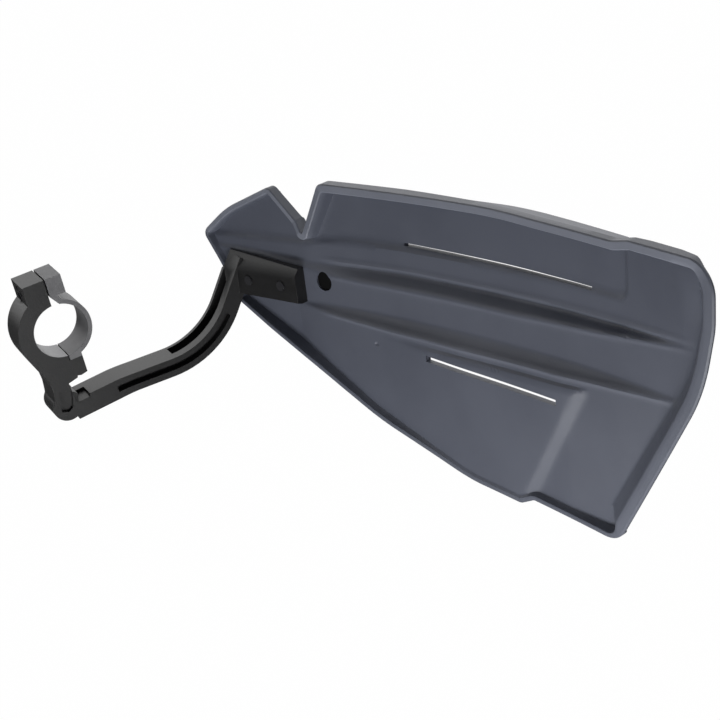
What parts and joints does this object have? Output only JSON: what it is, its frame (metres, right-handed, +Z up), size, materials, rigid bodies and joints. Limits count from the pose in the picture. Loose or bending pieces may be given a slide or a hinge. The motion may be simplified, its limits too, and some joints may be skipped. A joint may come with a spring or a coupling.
{
  "type": "motorcycle hand guard",
  "caption": "Fan-shaped moulded shield with a rolled rim and louvre slots, on a bent arm that clamps to a handlebar and guards the rider's hand.",
  "frame": {"origin": "middle of the handlebar clamp's bore, on the bar's axis", "axes": "+X along the handlebar towards its outer end, +Y forwards to the shield, +Z up; this is the guard for the right hand"},
  "size_m": [0.2574, 0.1688, 0.1189],
  "materials": {
    "shield_plastic": "satin moulded blue-grey polypropylene",
    "arm_black": "black satin coated casting",
    "cap_grey": "grey satin casting",
    "fastener_steel": "dark zinc",
    "insert_brass": "plain knurled brass",
    "plug_rubber": "matt black"
  },
  "bodies": {
    "root": {"shield": "shield_plastic", "arm": "arm_black", "clamp_cap": "cap_grey", "clamp_bolt": "fastener_steel", "screw_inner": "fastener_steel", "screw_outer": "fastener_steel", "washer_inner": "fastener_steel", "washer_outer": "fastener_steel", "insert_inner": "insert_brass", "insert_outer": "insert_brass", "hole_plug": "plug_rubber"}
  },
  "joints": []
}
